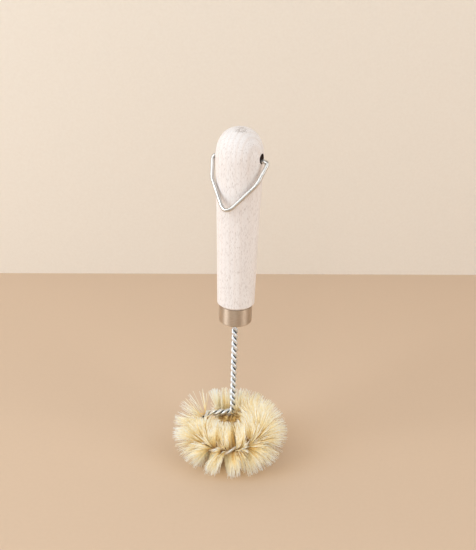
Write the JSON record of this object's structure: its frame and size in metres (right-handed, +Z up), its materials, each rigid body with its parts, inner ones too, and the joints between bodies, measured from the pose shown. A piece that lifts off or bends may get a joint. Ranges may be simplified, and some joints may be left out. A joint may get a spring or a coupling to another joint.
{
  "type": "sink brush",
  "caption": "Sink brush with a turned wooden handle, a swinging wire hanging loop, a metal ferrule and a twisted-wire stem bent into a ring of natural bristles.",
  "frame": {"origin": "on the surface that the brush stands on, under the middle of the ring of bristles", "axes": "+Z up along the stem and handle, +X to the right and +Y to the back as the brush is pictured"},
  "size_m": [0.0643, 0.064, 0.1879],
  "materials": {
    "beech": "untreated, finely sanded",
    "ferrule_metal": "warm nickel, satin",
    "loop_wire": "galvanised, bright",
    "stem_wire": "galvanised, bright",
    "bristle": "blond natural fibre"
  },
  "bodies": {
    "brush": {"handle": "beech", "ferrule": "ferrule_metal", "stem_wire_a": "stem_wire", "stem_wire_b": "stem_wire", "bristles_left": "bristle", "bristles_front": "bristle", "bristles_right": "bristle", "bristles_back": "bristle"},
    "loop": {"hanging_loop": "loop_wire"}
  },
  "joints": [
    {"name": "loop_swing", "type": "hinge", "parent": "brush", "child": "loop", "pos_m": [0.0012, 0.014, 0.17175], "axis": [-0.915, 0.4035, 0], "range_deg": [0, 288]}
  ]
}
